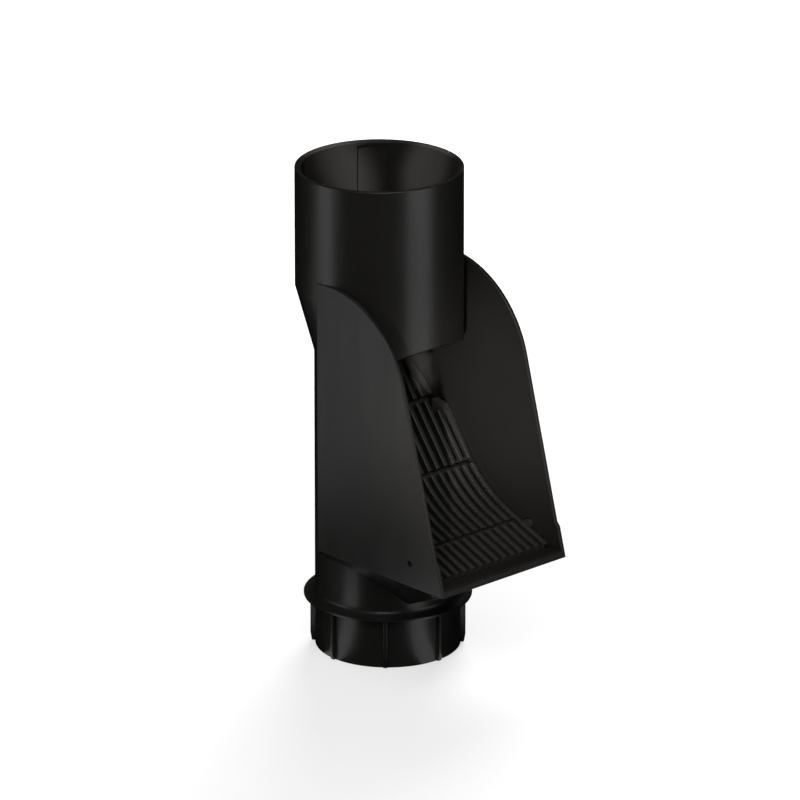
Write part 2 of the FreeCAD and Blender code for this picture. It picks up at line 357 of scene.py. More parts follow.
def moulded_pvc(name, tone, deep_tone, roughness):
    """Unplasticised PVC, injection moulded in black: deep colour, satin skin with a fine spark-eroded
    grain from the mould and faint flow marks, so highlights are soft and slightly broken."""
    material = empty_material(name)
    tree = material.node_tree
    place = add_node(tree, "ShaderNodeTexCoord").outputs["Object"]
    # Colour drifts by a shade over about 30 mm.
    drift = add_node(tree, "ShaderNodeTexNoise", {"Vector": place, "Scale": 1 / (30 * MM), "Detail": 3.0})
    colour = add_node(tree, "ShaderNodeMix", {
        "Factor": drift.outputs["Fac"], 6: linear(tone), 7: linear(deep_tone)}, data_type="RGBA")
    # Flow marks of about 9 mm, drawn out to 60 mm along the height.
    flow_place = add_node(tree, "ShaderNodeMapping", {"Vector": place, "Scale": (1.0, 1.0, 0.15)})
    flow = add_node(tree, "ShaderNodeTexNoise", {
        "Vector": flow_place.outputs["Vector"], "Scale": 1 / (9 * MM), "Detail": 4.0, "Roughness": 0.6})
    # Mould grain is about 0.2 mm on the real skin; drawn at 0.7 mm so that it shows.
    grain = add_node(tree, "ShaderNodeTexNoise", {"Vector": place, "Scale": 1 / (0.7 * MM), "Detail": 2.0})
    rough = add_node(tree, "ShaderNodeMapRange", {
        "Value": flow.outputs["Fac"], "From Min": 0.3, "From Max": 0.7,
        "To Min": roughness - 0.04, "To Max": roughness + 0.05})
    relief = add_node(tree, "ShaderNodeBump", {
        "Height": grain.outputs["Fac"], "Strength": 0.25, "Distance": 0.03 * MM})
    skin = add_node(tree, "ShaderNodeBsdfPrincipled", {
        "Base Color": colour.outputs[2], "Roughness": rough.outputs["Result"], "IOR": 1.53,
        "Normal": relief.outputs["Normal"]})
    add_node(tree, "ShaderNodeOutputMaterial", {"Surface": skin.outputs["BSDF"]})
    return material


body_pvc = moulded_pvc("black_moulded_pvc", "#1b1a19", "#181716", 0.33)
grille_pvc = moulded_pvc("black_grille_pvc", "#272624", "#232220", 0.42)


def spigot_ribs():
    """Eight grip ribs set round the spigot by a node tree, each with a sloped lead-in."""
    root = TUBE_RADIUS - RIB_ROOT
    top = SPIGOT_LENGTH + 0.3
    side = [(root, SPIGOT_EDGE), (root, top), (RIB_RADIUS, top),
            (RIB_RADIUS, RIB_LEAD), (RIB_RADIUS - RIB_TAPER, SPIGOT_EDGE)]
    rib = drawn("spigot_ribs", side, lengthwise, -RIB_WIDTH / 2, RIB_WIDTH / 2)
    softened(rib, lambda a, b: a.x > root + 0.3 and b.x > root + 0.3, RIB_ROUND)
    tree = bpy.data.node_groups.new("ribs_round_spigot", "GeometryNodeTree")
    tree.interface.new_socket("Rib", in_out="INPUT", socket_type="NodeSocketGeometry")
    count = tree.interface.new_socket("Rib Count", in_out="INPUT", socket_type="NodeSocketInt")
    finish = tree.interface.new_socket("Rib Material", in_out="INPUT", socket_type="NodeSocketMaterial")
    tree.interface.new_socket("Ribs", in_out="OUTPUT", socket_type="NodeSocketGeometry")
    given = add_node(tree, "NodeGroupInput")
    places = add_node(tree, "GeometryNodePoints", {"Count": given.outputs["Rib Count"]})
    number = add_node(tree, "GeometryNodeInputIndex")
    step = add_node(tree, "ShaderNodeMath", {0: 2 * math.pi, 1: given.outputs["Rib Count"]},
                    operation="DIVIDE")
    angle = add_node(tree, "ShaderNodeMath", {0: number.outputs["Index"], 1: step.outputs["Value"]},
                     operation="MULTIPLY")
    spin = add_node(tree, "ShaderNodeCombineXYZ", {"Z": angle.outputs["Value"]})
    ring = add_node(tree, "GeometryNodeInstanceOnPoints", {
        "Points": places.outputs["Points"], "Instance": given.outputs["Rib"],
        "Rotation": spin.outputs["Vector"]})
    real = add_node(tree, "GeometryNodeRealizeInstances", {"Geometry": ring.outputs["Instances"]})
    coated = add_node(tree, "GeometryNodeSetMaterial", {
        "Geometry": real.outputs["Geometry"], "Material": given.outputs["Rib Material"]})
    add_node(tree, "NodeGroupOutput", {"Ribs": coated.outputs["Geometry"]})
    maker = rib.modifiers.new("ribs", "NODES")
    maker.node_group = tree
    maker[count.identifier] = RIB_COUNT
    maker[finish.identifier] = body_pvc
    take_evaluated(rib)
    return rib


def side_plate(side):
    """A side plate: upright back, flat top, round crown, raked straight front and a low ear at the lip."""
    steps = 40
    sweep = math.pi / 2 - FRONT_RAKE
    crown = [(CROWN_START - CROWN_RADIUS * math.sin(sweep * k / steps),
              CROWN_Z + CROWN_RADIUS * math.cos(sweep * k / steps)) for k in range(steps + 1)]
    lean = math.tan(FRONT_RAKE)
    ear_top = EAR_HEIGHT + 1.5 * EAR_DEPTH
    ear = [(FRONT_CORNER + ear_top * lean, PLATE_BOTTOM + ear_top),
           (LIP_FRONT + EAR_HEIGHT * lean, PLATE_BOTTOM + EAR_HEIGHT), (LIP_FRONT, PLATE_BOTTOM)]
    outline = [(WEB_BACK, PLATE_BOTTOM), (WEB_BACK, PLATE_TOP)] + crown + ear
    x0, x1 = sorted((side * PLATE_INNER, side * PLATE_OUTER))
    plate = drawn("side_plate", outline, across, x0, x1)
    low = PLATE_BOTTOM + 0.01
    return softened(plate, lambda a, b: abs(a.x - b.x) < 0.01 and (a.z > low or b.z > low), EDGE_ROUND)


def hopper_outside():
    """The hopper's outer form, a tapered box with a flat back."""
    fall = PLATE_BOTTOM - HOPPER_LOW
    low_half = PLATE_OUTER - fall * math.tan(HOPPER_SIDE_SLOPE)
    low_front = FRONT_CORNER + fall / math.tan(HOPPER_FLOOR_SLOPE)
    points = [(s * half, y, z) for half, front, z in ((PLATE_OUTER, FRONT_CORNER, PLATE_BOTTOM),
                                                      (low_half, low_front, HOPPER_LOW))
              for s, y in ((-1, front), (1, front), (1, WEB_BACK), (-1, WEB_BACK))]
    faces = [(0, 1, 2, 3), (4, 5, 6, 7), (0, 1, 5, 4), (1, 2, 6, 5), (2, 3, 7, 6), (3, 0, 4, 7)]
    hopper = solid("hopper", points, faces)
    top = PLATE_BOTTOM - 0.01
    return softened(hopper, lambda a, b: a.z < top or b.z < top, HOPPER_ROUND)


def hopper_inside():
    """The hopper's inner room, with the ledge behind the lip left standing."""
    fall = math.tan(HOPPER_SIDE_SLOPE)
    floor_fall = math.tan(HOPPER_FLOOR_SLOPE)
    shift = WALL / math.cos(HOPPER_SIDE_SLOPE)
    floor_top = PLATE_BOTTOM + WALL / math.cos(HOPPER_FLOOR_SLOPE)
    low, high = HOPPER_LOW - 2, PLATE_BOTTOM + 6
    knee = PLATE_BOTTOM + (shift - WALL) / fall
    low_half = PLATE_OUTER - shift - fall * (PLATE_BOTTOM - low)
    front_view = [(-PLATE_INNER, high), (-PLATE_INNER, knee), (-low_half, low),
                  (low_half, low), (PLATE_INNER, knee), (PLATE_INNER, high)]
    ledge_back = LIP_BACK + LEDGE_WIDTH
    side_view = [(LIP_BACK, high), (LIP_BACK, LEDGE_HEIGHT), (ledge_back, LEDGE_HEIGHT),
                 (ledge_back, floor_top - floor_fall * (ledge_back - FRONT_CORNER)),
                 (FRONT_CORNER + (floor_top - low) / floor_fall, low), (WEB_FRONT, low), (WEB_FRONT, high)]
    room = drawn("hopper_room", front_view, lengthwise, FRONT_CORNER - 5, WEB_BACK + 5)
    return joined(room, [drawn("hopper_side", side_view, across, -PAST_SIDES, PAST_SIDES)], "INTERSECT")


def front_lip():
    """A weir across the mouth with a raked face, a flat top and soft edges."""
    face = LIP_FACE_SHARE * LIP_RISE
    front = LIP_FRONT + 0.02
    outline = [(front, PLATE_BOTTOM), (front + face * math.tan(FRONT_RAKE), PLATE_BOTTOM + face),
               (LIP_FRONT + LIP_BEVEL_SHARE * LIP_WIDTH, LIP_TOP), (LIP_BACK, LIP_TOP),
               (LIP_BACK, PLATE_BOTTOM - 1.5), (FRONT_CORNER + 1.5, PLATE_BOTTOM - 0.5)]
    outline = rounded(outline, EDGE_ROUND, keep_sharp=(0, 4, 5))
    return drawn("lip", outline, across, -PLATE_INNER - 1, PLATE_INNER + 1)


def mouth_height(y):
    return MOUTH_FRONT_HEIGHT - (y - MOUTH_FRONT_Y) * math.tan(MOUTH_SLOPE)


def front_skirt():
    """The socket wall carried down in front of the mouth, cut on a slope with a rounded edge; a tongue on its
    top is sunk in the wall above."""
    columns = TURN_STEPS // 2 - 2
    reach = math.pi * columns / TURN_STEPS
    soft = EDGE_ROUND
    quarter = [math.pi / 2 * k / 4 for k in range(5)]
    low_edge = [(STOP_RADIUS + soft - soft * math.cos(t), soft - soft * math.sin(t)) for t in quarter]
    low_edge += [(SOCKET_RADIUS - soft + soft * math.sin(t), soft - soft * math.cos(t)) for t in quarter]
    top_edge = [(SOCKET_RADIUS, 0.01), (SKIRT_TONGUE_OUTER, 0.01), (SKIRT_TONGUE_OUTER, SKIRT_TONGUE_RISE),
                (SKIRT_TONGUE_INNER, SKIRT_TONGUE_RISE), (SKIRT_TONGUE_INNER, 0.03), (STOP_RADIUS, 0.03)]
    points = []
    for k in range(columns + 1):
        a = 2 * math.pi * k / TURN_STEPS - reach
        for r, lift in low_edge:
            y = SOCKET_AXIS_Y - r * math.cos(a)
            points.append((r * math.sin(a), y, mouth_height(y) + lift))
        for r, lift in top_edge:
            points.append((r * math.sin(a), SOCKET_AXIS_Y - r * math.cos(a), STOP_HEIGHT + lift))
    points = [(min(max(x, -PLATE_OUTER), PLATE_OUTER), y, z) for x, y, z in points]
    ring = len(low_edge) + len(top_edge)
    faces = [(k * ring + j, k * ring + (j + 1) % ring, (k + 1) * ring + (j + 1) % ring, (k + 1) * ring + j)
             for k in range(columns) for j in range(ring)]
    faces += [tuple(range(ring)), tuple(range(columns * ring, (columns + 1) * ring))]
    return solid("front_skirt", points, faces)


def place_on_grille(y):
    """Height and direction of the grille's top surface at a given Y."""
    corner = Vector((GRILLE_FRONT + LOWER_RUN, GRILLE_FRONT_HEIGHT + LOWER_RUN * math.tan(LOWER_SLOPE)))
    reach = BEND_RADIUS * math.tan((UPPER_SLOPE - LOWER_SLOPE) / 2)
    top = corner + Vector((math.cos(UPPER_SLOPE), math.sin(UPPER_SLOPE))) * reach
    low = corner - Vector((math.cos(LOWER_SLOPE), math.sin(LOWER_SLOPE))) * reach
    if y >= top.x:
        return top.y + (y - top.x) * math.tan(UPPER_SLOPE), UPPER_SLOPE
    if y <= low.x:
        return low.y + (y - low.x) * math.tan(LOWER_SLOPE), LOWER_SLOPE
    centre = top + Vector((-math.sin(UPPER_SLOPE), math.cos(UPPER_SLOPE))) * BEND_RADIUS
    slope = math.asin((y - centre.x) / BEND_RADIUS)
    return centre.y - BEND_RADIUS * math.cos(slope), slope


def bend_points(depth, rear, steps=36):
    """Side view of the bent grille at a depth under its top surface, from the front end to the rear."""
    corner_y = GRILLE_FRONT + LOWER_RUN
    reach = BEND_RADIUS * math.tan((UPPER_SLOPE - LOWER_SLOPE) / 2)
    low_y, top_y = corner_y - reach * math.cos(LOWER_SLOPE), corner_y + reach * math.cos(UPPER_SLOPE)
    slopes = [LOWER_SLOPE + (UPPER_SLOPE - LOWER_SLOPE) * k / steps for k in range(steps + 1)]
    centre_y = top_y - BEND_RADIUS * math.sin(UPPER_SLOPE)
    stations = [GRILLE_FRONT, 0.5 * (GRILLE_FRONT + low_y)]
    stations += [centre_y + BEND_RADIUS * math.sin(s) for s in slopes]
    stations += [0.5 * (top_y + rear), rear]
    points = []
    for y in stations:
        z, slope = place_on_grille(y)
        points.append((y + depth * math.sin(slope), z - depth * math.cos(slope)))
    return points


def grille_bars():
    """Fifteen bars swept along the bent path by a node tree, each ended under the rear frame."""
    path = bend_points(0.0, GRILLE_REAR_RADIUS)
    bars = solid("grille_bars", [(0.0, y, z) for y, z in path], [])
    shape = bmesh.new()
    shape.from_mesh(bars.data)
    ends = list(shape.verts)
    for a, b in zip(ends, ends[1:]):
        shape.edges.new((a, b))
    shape.to_mesh(bars.data)
    shape.free()
    length = sum((Vector(b) - Vector(a)).length for a, b in zip(path, path[1:]))
    sizes = {
        "Bar Count": BAR_COUNT,
        "Bar Pitch": (2 * GRILLE_HALF - BAR_WIDTH) / (BAR_COUNT - 1) * MM,
        "Bar Width": BAR_WIDTH * MM,
        "Bar Depth": BAR_DEPTH * MM,
        "Edge Radius": BAR_ROUND * MM,
        "Rear Radius": (GRILLE_REAR_RADIUS - BAR_UNDER_FRAME) * MM,
        "Length To Axis": (length - GRILLE_REAR_RADIUS / math.cos(UPPER_SLOPE)) * MM,
        "Rise Factor": 1 / math.cos(UPPER_SLOPE),
        "Side Shortening": SIDE_BAR_SHORT * MM,
    }
    tree = bpy.data.node_groups.new("bars_along_bend", "GeometryNodeTree")
    tree.interface.new_socket("Bend Path", in_out="INPUT", socket_type="NodeSocketGeometry")
    sockets = {}
    for name, value in sizes.items():
        kind = "NodeSocketInt" if isinstance(value, int) else "NodeSocketFloat"
        sockets[name] = tree.interface.new_socket(name, in_out="INPUT", socket_type=kind)
    finish = tree.interface.new_socket("Bar Material", in_out="INPUT", socket_type="NodeSocketMaterial")
    tree.interface.new_socket("Bars", in_out="OUTPUT", socket_type="NodeSocketGeometry")
    given = add_node(tree, "NodeGroupInput").outputs

    def worked(operation, first, second=0.0):
        return add_node(tree, "ShaderNodeMath", {0: first, 1: second}, operation=operation).outputs["Value"]

    curve = add_node(tree, "GeometryNodeMeshToCurve", {"Mesh": given["Bend Path"]})
    copies = add_node(tree, "GeometryNodeDuplicateElements", {
        "Geometry": curve.outputs["Curve"], "Amount": given["Bar Count"]}, domain="SPLINE")
    middle = worked("MULTIPLY", worked("SUBTRACT", given["Bar Count"], 1.0), 0.5)
    from_middle = worked("SUBTRACT", copies.outputs["Duplicate Index"], middle)
    bar_x = worked("MULTIPLY", from_middle, given["Bar Pitch"])
    shift = add_node(tree, "ShaderNodeCombineXYZ", {"X": bar_x})
    spread = add_node(tree, "GeometryNodeSetPosition", {
        "Geometry": copies.outputs["Geometry"], "Offset": shift.outputs["Vector"]})
    # A bar's rear end lies under the half round of the frame; the two outer bars stop at its shoulders.
    inside = worked("SUBTRACT", worked("MULTIPLY", given["Rear Radius"], given["Rear Radius"]),
                    worked("MULTIPLY", bar_x, bar_x))
    rear_y = worked("SUBTRACT", worked("SQRT", worked("MAXIMUM", inside, 0.0)),
                    worked("MULTIPLY", worked("LESS_THAN", inside, 0.0), given["Side Shortening"]))
    end = worked("ADD", given["Length To Axis"], worked("MULTIPLY", rear_y, given["Rise Factor"]))
    trimmed = add_node(tree, "GeometryNodeTrimCurve", {"Curve": spread.outputs["Geometry"], 5: end},
                       mode="LENGTH")
    level = add_node(tree, "GeometryNodeSetCurveNormal", {"Curve": trimmed.outputs["Curve"]}, mode="Z_UP")
    section = add_node(tree, "GeometryNodeCurvePrimitiveQuadrilateral", {
        "Width": given["Bar Width"], "Height": given["Bar Depth"]})
    soft = add_node(tree, "GeometryNodeFilletCurve", {
        "Curve": section.outputs["Curve"], "Count": 3, "Radius": given["Edge Radius"]}, mode="POLY")
    # The section hangs under the path, so its middle lies half a bar's depth down.
    under = add_node(tree, "ShaderNodeCombineXYZ", {"Y": worked("MULTIPLY", given["Bar Depth"], 0.5)})
    lowered = add_node(tree, "GeometryNodeSetPosition", {
        "Geometry": soft.outputs["Curve"], "Offset": under.outputs["Vector"]})
    swept = add_node(tree, "GeometryNodeCurveToMesh", {
        "Curve": level.outputs["Curve"], "Profile Curve": lowered.outputs["Geometry"], "Fill Caps": True})
    real = add_node(tree, "GeometryNodeRealizeInstances", {"Geometry": swept.outputs["Mesh"]})
    coated = add_node(tree, "GeometryNodeSetMaterial", {
        "Geometry": real.outputs["Geometry"], "Material": given["Bar Material"]})
    add_node(tree, "NodeGroupOutput", {"Bars": coated.outputs["Geometry"]})
    maker = bars.modifiers.new("bars", "NODES")
    maker.node_group = tree
    for name, value in sizes.items():
        maker[sockets[name].identifier] = value
    maker[finish.identifier] = grille_pvc
    take_evaluated(bars)
    return bars


def plan_outline(inset, front):
    """The grille's outline from above, moved in by an inset."""
    half = GRILLE_HALF - inset
    radius = GRILLE_REAR_RADIUS - inset
    shoulder_y = GRILLE_SHOULDER_Y - inset
    shoulder_x = math.sqrt(radius ** 2 - shoulder_y ** 2)
    start = math.atan2(shoulder_y, shoulder_x)
    arc = [start + (math.pi - 2 * start) * k / 60 for k in range(61)]
    return ([(-half, front), (half, front), (half, shoulder_y - SHOULDER_DROP)]
            + [(radius * math.cos(a), radius * math.sin(a)) for a in arc]
            + [(-half, shoulder_y - SHOULDER_DROP)])


def sheet(name, from_depth, to_depth):
    """The bent sheet that the frame is cut from."""
    upper = bend_points(from_depth, GRILLE_REAR_RADIUS + 3)
    lower = bend_points(to_depth, GRILLE_REAR_RADIUS + 3)
    return drawn(name, upper + lower[::-1], across, -GRILLE_HALF - 1, GRILLE_HALF + 1)


def strip(name, y, half_width, from_depth, to_depth, soft=0.0, reach=GRILLE_HALF - 0.2):
    """A straight strip across the grille, between two depths under its top surface."""
    z, slope = place_on_grille(y)
    along = Vector((math.cos(slope), math.sin(slope)))
    down = Vector((math.sin(slope), -math.cos(slope)))
    corners = [Vector((y, z)) + along * s * half_width + down * d
               for s, d in ((-1, from_depth), (1, from_depth), (1, to_depth), (-1, to_depth))]
    outline = rounded(corners, soft) if soft else [tuple(c) for c in corners]
    return drawn(name, outline, across, -reach, reach)


def leaf_grille():
    """The bent bar grille with its rear frame, ties, foot and pegs, as one moulding."""
    frame_piece = drawn("rear_frame", plan_outline(0.0, FRAME_FRONT_Y), upright, *FRAME_HEIGHTS)
    frame_room = drawn("frame_room", plan_outline(FRAME_WIDTH, FRAME_FRONT_Y - 1), upright, *TRIM_HEIGHTS)
    frame_piece = joined(frame_piece, [frame_room], "DIFFERENCE")
    frame_piece = joined(frame_piece, [sheet("frame_sheet", 0.0, BAR_DEPTH)], "INTERSECT")
    top_y = GRILLE_FRONT + LOWER_RUN
    top_y += BEND_RADIUS * math.tan((UPPER_SLOPE - LOWER_SLOPE) / 2) * math.cos(UPPER_SLOPE)
    tie_places = (WEB_FRONT - TIE_FORWARD, top_y - TIE_FORWARD)
    dot_y = GRILLE_FRONT + DOT_FROM_FRONT
    peg_y = GRILLE_FRONT + PEG_FROM_FRONT
    peg_z = place_on_grille(peg_y)[0] + PEG_RISE
    ties = []
    for y in tie_places:
        tie = strip("tie", y, TIE_WIDTH / 2, TIE_GROOVE_DEPTH - TIE_OVERLAP, BAR_DEPTH + TIE_DROP,
                    TIE_ROUND)
        tie_trim = drawn("tie_trim", plan_outline(TIE_TRIM, TRIM_FRONT_Y), upright, *TRIM_HEIGHTS)
        ties.append(joined(tie, [tie_trim], "INTERSECT"))
    low_tie = strip("low_tie", dot_y, TIE_WIDTH / 2, DOT_DEPTH + LOW_TIE_COVER, BAR_DEPTH + LOW_TIE_DROP,
                    TIE_ROUND)
    foot_y = GRILLE_FRONT + FOOT_GAP
    foot_half = GRILLE_HALF - FOOT_INSET
    foot = block("foot", -foot_half, foot_half, foot_y, foot_y + FOOT_WIDTH, LEDGE_HEIGHT,
                 place_on_grille(foot_y)[0] - FOOT_DROP)
    pegs = []
    for side in (-1, 1):
        ends = sorted((side * (GRILLE_HALF - BOSS_LENGTH / 2), side * PEG_REACH))
        peg = rod("peg", PEG_RADIUS, *ends, peg_y, peg_z)
        tip = side * PEG_REACH
        pegs.append(softened(peg, lambda a, b: abs(a.x - tip) < 0.01 and abs(b.x - tip) < 0.01, PEG_ROUND))
        ends = sorted((side * (GRILLE_HALF - BOSS_LENGTH), side * (GRILLE_HALF - BOSS_INSET)))
        pegs.append(rod("boss", BOSS_RADIUS, *ends, peg_y, peg_z))
    bar_trim = drawn("bar_trim", plan_outline(BAR_TRIM, TRIM_FRONT_Y), upright, *TRIM_HEIGHTS)
    bars = joined(grille_bars(), [bar_trim], "INTERSECT")
    grille = joined(bars, [frame_piece] + ties + [low_tie, foot] + pegs, "UNION")
    grooves = [strip("groove", y, TIE_GROOVE_WIDTH / 2, -ABOVE_BARS, TIE_GROOVE_DEPTH) for y in tie_places]
    dots = strip("dot_notch", dot_y, DOT_LENGTH / 2, -ABOVE_BARS, DOT_DEPTH, reach=GRILLE_HALF - BAR_WIDTH)
    grille = joined(grille, grooves + [dots], "DIFFERENCE")
    finished(grille, "leaf_grille_bars", 40, "leaf_grille", grille_pvc)


def filter_body():
    """Socket, reducer, open tube, plates, hopper, collar and spigot as one moulding."""
    collar_top = SPIGOT_LENGTH + COLLAR_EDGE
    cove = []
    for k in range(11):
        t = math.pi / 2 * k / 10
        cove.append((COLLAR_RADIUS - (COLLAR_RADIUS - TUBE_RADIUS) * math.sin(t) ** COVE_POWER,
                     collar_top + (COLLAR_ROOT - COLLAR_EDGE) * (1 - math.cos(t))))
    corner = 0.3 * COLLAR_ROUND
    outline = [(TUBE_RADIUS - SPIGOT_EDGE, 0.0), (TUBE_RADIUS, SPIGOT_EDGE), (TUBE_RADIUS, SPIGOT_LENGTH),
               (COLLAR_RADIUS - COLLAR_ROUND, SPIGOT_LENGTH),
               (COLLAR_RADIUS - corner, SPIGOT_LENGTH + corner),
               (COLLAR_RADIUS, SPIGOT_LENGTH + COLLAR_ROUND)] + cove
    outline += [(TUBE_RADIUS, SPIGOT_LENGTH + COLLAR_ROOT + 1), (TUBE_RADIUS, TUBE_LOOP),
                (TUBE_RADIUS, REDUCER_LOW - BEND_LOOP)]
    for k in range(7):
        part = k / 6
        outline.append((TUBE_RADIUS + (SOCKET_RADIUS - TUBE_RADIUS) * part,
                        REDUCER_LOW + (STOP_HEIGHT - REDUCER_LOW) * part))
    outline += [(SOCKET_RADIUS, STOP_HEIGHT + BEND_LOOP), (SOCKET_RADIUS, SOCKET_LOOP),
                (SOCKET_RADIUS, TOTAL_HEIGHT - EDGE_ROUND)]
    for k in range(1, 5):
        t = math.pi / 2 * k / 4
        outline.append((SOCKET_RADIUS - EDGE_ROUND * (1 - math.cos(t)),
                        TOTAL_HEIGHT - EDGE_ROUND * (1 - math.sin(t))))
    body = turned("filter_body_shape", outline)
    front_gap = block("front_gap", -PAST_SIDES, PAST_SIDES, -PAST_SIDES, WEB_FRONT,
                      PLATE_BOTTOM + 4, STOP_HEIGHT)
    body = joined(body, [front_gap], "DIFFERENCE")
    # The webs start inside the tube's bore, which is cut later, and end inside the plates.
    web_side = [(TUBE_BORE - 3, PLATE_BOTTOM - 6), (PLATE_OUTER - 0.5, PLATE_BOTTOM - 0.2),
                (PLATE_OUTER - 0.5, STOP_HEIGHT), (TUBE_BORE - 3, STOP_HEIGHT)]
    webs = [drawn("web", [(s * x, z) for x, z in web_side], lengthwise, WEB_FRONT, WEB_BACK) for s in (-1, 1)]
    additions = [hopper_outside(), side_plate(-1), side_plate(1)] + webs + [front_lip(), spigot_ribs()]
    body = joined(body, additions, "UNION")
    passage = [(TUBE_BORE + BORE_EDGE, -1.0), (TUBE_BORE + BORE_EDGE, 0.0), (TUBE_BORE, BORE_EDGE),
               (TUBE_BORE, BORE_LOOP), (TUBE_BORE, REDUCER_LOW - BEND_LOOP)]
    for k in range(7):
        part = k / 6
        passage.append((TUBE_BORE + (STOP_RADIUS - TUBE_BORE) * part,
                        REDUCER_LOW + (STOP_HEIGHT - REDUCER_LOW) * part))
    passage += [(BORE_RADIUS, STOP_HEIGHT), (BORE_RADIUS, STOP_HEIGHT + BEND_LOOP),
                (BORE_RADIUS, SOCKET_LOOP), (BORE_RADIUS, TOTAL_HEIGHT - LEAD_IN),
                (BORE_RADIUS + LEAD_IN, TOTAL_HEIGHT),
                (BORE_RADIUS + LEAD_IN, TOTAL_HEIGHT + 2)]
    peg_y = GRILLE_FRONT + PEG_FROM_FRONT
    peg_z = place_on_grille(peg_y)[0] + PEG_RISE
    inner, outer = BORE_RADIUS - 1.5, BORE_RADIUS + PANEL_DEPTH
    ring = [(inner, PANEL_HEIGHTS[0]), (outer, PANEL_HEIGHTS[0]),
            (outer, PANEL_HEIGHTS[1]), (inner, PANEL_HEIGHTS[1])]
    width = PANEL_ANGLES[1] - PANEL_ANGLES[0]
    panels = [turned("panel", ring, start=a, sweep=width) for a in (PANEL_ANGLES[0], 180 - PANEL_ANGLES[1])]
    holes = rod("peg_holes", HOLE_RADIUS, -PAST_SIDES, PAST_SIDES, peg_y, peg_z)
    body = joined(body, [hopper_inside(), turned("passage", passage)] + panels + [holes], "DIFFERENCE")
    body = joined(body, [front_skirt()], "UNION")
    finished(body, "filter_body_shell", 35, "filter_body", body_pvc)


filter_body()
leaf_grille()

# Camera at the photograph's angle: a long lens, 43 degrees to the left and 20 degrees down.
camera = bpy.data.objects.new("camera", bpy.data.cameras.new("camera"))
bpy.context.scene.collection.objects.link(camera)
camera.data.lens = 369.4
camera.data.sensor_width = 36.0
camera.data.clip_end = 200.0
AZIMUTH, ELEVATION, DISTANCE = math.radians(-43.08), math.radians(20.17), 3605.0
TARGET = Vector((3.90, -3.65, 113.76))
toward_camera = Vector((math.sin(AZIMUTH) * math.cos(ELEVATION), -math.cos(AZIMUTH) * math.cos(ELEVATION),
                        math.sin(ELEVATION)))
camera.location = (TARGET + toward_camera * DISTANCE) * MM
camera.rotation_euler = (-toward_camera).to_track_quat("-Z", "Y").to_euler()
bpy.context.scene.camera = camera

# Floor and world: white where the camera, a reflection or a clear piece sees them.
bpy.context.scene.view_settings.view_transform = "Standard"


def seen_directly(tree):
    """One where a ray from the camera, a reflection or a clear piece arrives, else nought."""
    path = add_node(tree, "ShaderNodeLightPath").outputs
    both = add_node(tree, "ShaderNodeMath", {0: path["Is Camera Ray"], 1: path["Is Glossy Ray"]},
                    operation="MAXIMUM")
    return add_node(tree, "ShaderNodeMath", {0: both.outputs["Value"], 1: path["Is Transmission Ray"]},
                    operation="MAXIMUM").outputs["Value"]


world = bpy.data.worlds.new("white_studio")
world.use_nodes = True
world.node_tree.nodes.clear()
bpy.context.scene.world = world
level = add_node(world.node_tree, "ShaderNodeMapRange", {
    "Value": seen_directly(world.node_tree), "To Min": 0.15, "To Max": 1.0})
sky = add_node(world.node_tree, "ShaderNodeBackground", {
    "Color": linear("#ffffff"), "Strength": level.outputs["Result"]})
add_node(world.node_tree, "ShaderNodeOutputWorld", {"Surface": sky.outputs["Background"]})

floor_paint = empty_material("white_floor_paint")
tree = floor_paint.node_tree
matt = add_node(tree, "ShaderNodeBsdfDiffuse", {"Color": linear("#a0a0a0")})
# The paint's own glow rises from the part outwards, where the lamps fade, so that the ground stays even.
place = add_node(tree, "ShaderNodeTexCoord").outputs["Object"]
radius = add_node(tree, "ShaderNodeVectorMath", {0: place}, operation="LENGTH").outputs["Value"]
rise = add_node(tree, "ShaderNodeMapRange", {
    "Value": radius, "From Min": 0.1, "From Max": 1.0, "To Min": 0.62, "To Max": 0.93})
lift = add_node(tree, "ShaderNodeMath", {0: seen_directly(tree), 1: rise.outputs["Result"]},
                operation="MULTIPLY")
glow = add_node(tree, "ShaderNodeEmission", {"Color": linear("#ffffff"), "Strength": lift.outputs["Value"]})
both = add_node(tree, "ShaderNodeAddShader", {0: matt.outputs["BSDF"], 1: glow.outputs["Emission"]})
add_node(tree, "ShaderNodeOutputMaterial", {"Surface": both.outputs["Shader"]})
floor = block("floor", -30000, 30000, -30000, 30000, -20, 0)
floor.data.materials.append(floor_paint)

# A black studio room that only reflections see: mat, walls and ceiling with two gaps, which the skin shows as
# two soft upright highlights, and a grey card at the left that glows by itself with no lamp on it, which the
# near side plate shows in its reflection.
card_cloth = empty_material("black_studio_cloth")
black = add_node(card_cloth.node_tree, "ShaderNodeBsdfDiffuse", {"Color": linear("#0a0a0a")})
add_node(card_cloth.node_tree, "ShaderNodeOutputMaterial", {"Surface": black.outputs["BSDF"]})
# The grey card glows by itself instead of reflecting a lamp's light; only reflections see it.
glowing_card = empty_material("glowing_grey_card")
shine = add_node(glowing_card.node_tree, "ShaderNodeEmission", {"Color": linear("#ffffff"), "Strength": 0.48})
add_node(glowing_card.node_tree, "ShaderNodeOutputMaterial", {"Surface": shine.outputs["Emission"]})
FACING = math.degrees(math.atan2(toward_camera.y, toward_camera.x))


def studio_card(name, outline, start, end, cloth=card_cloth):
    """A card bent round the part from (radius, height) points; its angles count from the camera's side to the
    right."""
    steps = round((end - start) / 4)
    count = len(outline)
    angles = [math.radians(FACING + start + (end - start) * k / steps) for k in range(steps + 1)]
    points = [(r * math.cos(a), r * math.sin(a), z) for a in angles for r, z in outline]
    faces = [(count * k + j, count * k + j + 1, count * (k + 1) + j + 1, count * (k + 1) + j)
             for k in range(steps) for j in range(count - 1)]
    card = solid(name, points, faces)
    card.data.materials.append(cloth)
    card.visible_camera = False
    card.visible_diffuse = False
    card.visible_transmission = False
    card.visible_shadow = False


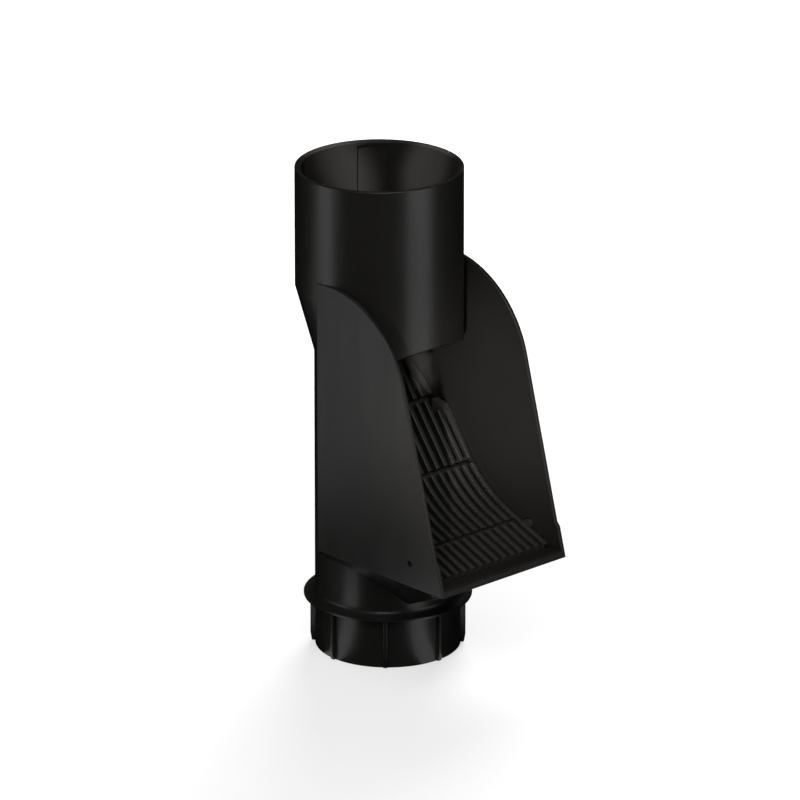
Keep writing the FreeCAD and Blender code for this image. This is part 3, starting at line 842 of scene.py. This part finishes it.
MAT_HEIGHT, CEILING_HEIGHT, WALL_RADIUS = 0.2, 1500, 2500
near_mat = [(32.1, MAT_HEIGHT), (140, MAT_HEIGHT)]
middle_mat = [(140, MAT_HEIGHT), (330, MAT_HEIGHT)]
far_mat_and_wall = [(330, MAT_HEIGHT), (WALL_RADIUS, MAT_HEIGHT), (WALL_RADIUS, CEILING_HEIGHT)]
studio_card("card_near_front", near_mat, -42, 28)
studio_card("card_near_back", near_mat, 50, 298)
studio_card("card_ring", middle_mat, 0, 360)
studio_card("card_front", far_mat_and_wall, -64, 38)
studio_card("card_back", far_mat_and_wall, 72, 272)
studio_card("card_left", [(215, 2 * MAT_HEIGHT), (520, 2 * MAT_HEIGHT)], -104, -84, glowing_card)
studio_card("card_above", [(5, CEILING_HEIGHT), (WALL_RADIUS, CEILING_HEIGHT)], 0, 360)

# Soft lamps: overhead towards the front, and at the left and the back, where reflections don't see them, so
# that they leave no highlight. Places are in metres.
LAMP_AIM = Vector((0, 0, 0.1))
for name, place, size, energy in (("overhead_lamp", (-0.5, -0.9, 1.4), 1.4, 14.0),
                                  ("left_lamp", (-1.4, -0.6, 1.0), 0.9, 9.0),
                                  ("back_lamp", (1.2, 0.8, 0.9), 0.9, 40.0)):
    lamp = bpy.data.objects.new(name, bpy.data.lights.new(name, "AREA"))
    bpy.context.scene.collection.objects.link(lamp)
    lamp.data.shape = "DISK"
    lamp.data.size = size
    lamp.data.energy = energy
    lamp.location = place
    lamp.rotation_euler = (LAMP_AIM - lamp.location).to_track_quat("-Z", "Y").to_euler()
    lamp.visible_camera = False
    lamp.visible_glossy = name == "overhead_lamp"


def snoot(name, aim, swing, lean, beam, energy, reach=1.6):
    """A small lamp with a narrow beam that reflections don't see; its place is given as the turn to the left
    of the camera and the lift, in degrees, and the reach in metres. One degree is the narrowest beam."""
    turn, lift = math.radians(FACING - swing), math.radians(lean)
    back = Vector((math.cos(turn) * math.cos(lift), math.sin(turn) * math.cos(lift), math.sin(lift)))
    lamp = bpy.data.objects.new(name, bpy.data.lights.new(name, "SPOT"))
    bpy.context.scene.collection.objects.link(lamp)
    lamp.data.energy = energy
    lamp.data.spot_size = 2 * math.atan(beam * MM / reach)
    lamp.data.spot_blend = 0.8
    lamp.data.shadow_soft_size = 0.4 * beam * MM
    lamp.location = Vector(aim) * MM + back * reach
    lamp.rotation_euler = (-back).to_track_quat("-Z", "Y").to_euler()
    lamp.visible_camera = False
    lamp.visible_glossy = False


# One low beam through the open front on to the far plate, two through the mouth on to the tube's inner wall,
# two down into the socket on its inner wall.
snoot("plate_snoot", (35, -38, 118), 7, -3, 62, 222.0)
snoot("mouth_snoot_high", (29.1, 8.5, 123), 0, 6, 6, 24.0, 0.4)
snoot("mouth_snoot_low", (29.4, 7.2, 115.5), 0, 6, 6, 18.0, 0.4)
snoot("socket_snoot_left", (8, 39, 211), 22, 50, 14, 780.0)
snoot("socket_snoot_right", (34, 10.4, 211), 0, 50, 9, 560.0)
